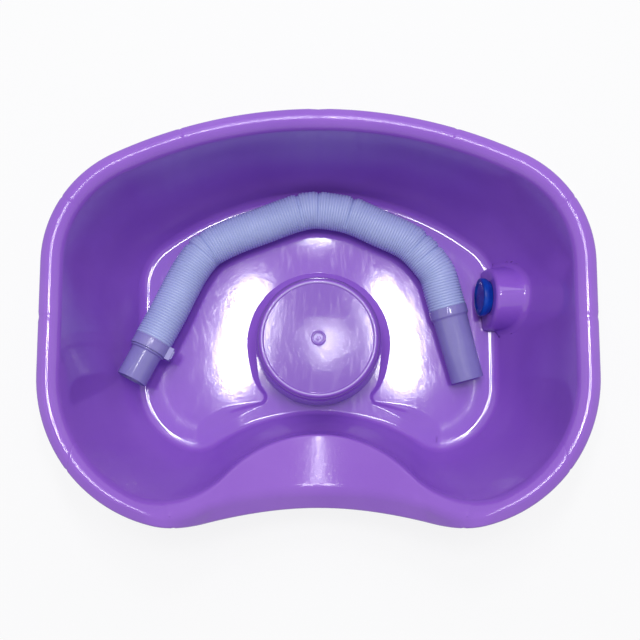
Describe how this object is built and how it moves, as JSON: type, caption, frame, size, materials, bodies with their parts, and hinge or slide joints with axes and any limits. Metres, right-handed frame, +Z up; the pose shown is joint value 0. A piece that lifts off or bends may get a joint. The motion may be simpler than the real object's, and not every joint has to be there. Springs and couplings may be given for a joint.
{
  "type": "portable shampoo basin",
  "caption": "Moulded plastic hair-washing basin with a neck cradle, a head-rest pedestal, a side drain with its stopper and a loose corrugated drain hose.",
  "frame": {"origin": "centre of the basin's bounding box in plan, at the underside it stands on", "axes": "+X to the drain side, -Y to the neck cradle, +Z up"},
  "size_m": [0.5788, 0.4379, 0.1875],
  "materials": {
    "violet_plastic": "glossy moulded polypropylene",
    "blue_rubber": "smooth",
    "hose_plastic": "milky, slightly see-through",
    "connector_plastic": "milky",
    "clip_plastic": "milky",
    "cuff_plastic": "milky"
  },
  "bodies": {
    "basin": {"basin_shell": "violet_plastic"},
    "plug": {"drain_plug": "blue_rubber"},
    "hose": {"hose_tube": "hose_plastic", "hose_connector": "connector_plastic", "hose_clip": "clip_plastic", "hose_cuff": "cuff_plastic"}
  },
  "joints": [
    {"name": "plug_pull", "type": "slide", "parent": "basin", "child": "plug", "axis": [-0.9925, 0, 0.1219], "range_m": [0, 0.008]},
    {"name": "hose_lift", "type": "slide", "parent": "basin", "child": "hose", "axis": [0, 0, 1], "range_m": [0, 0.25]}
  ]
}
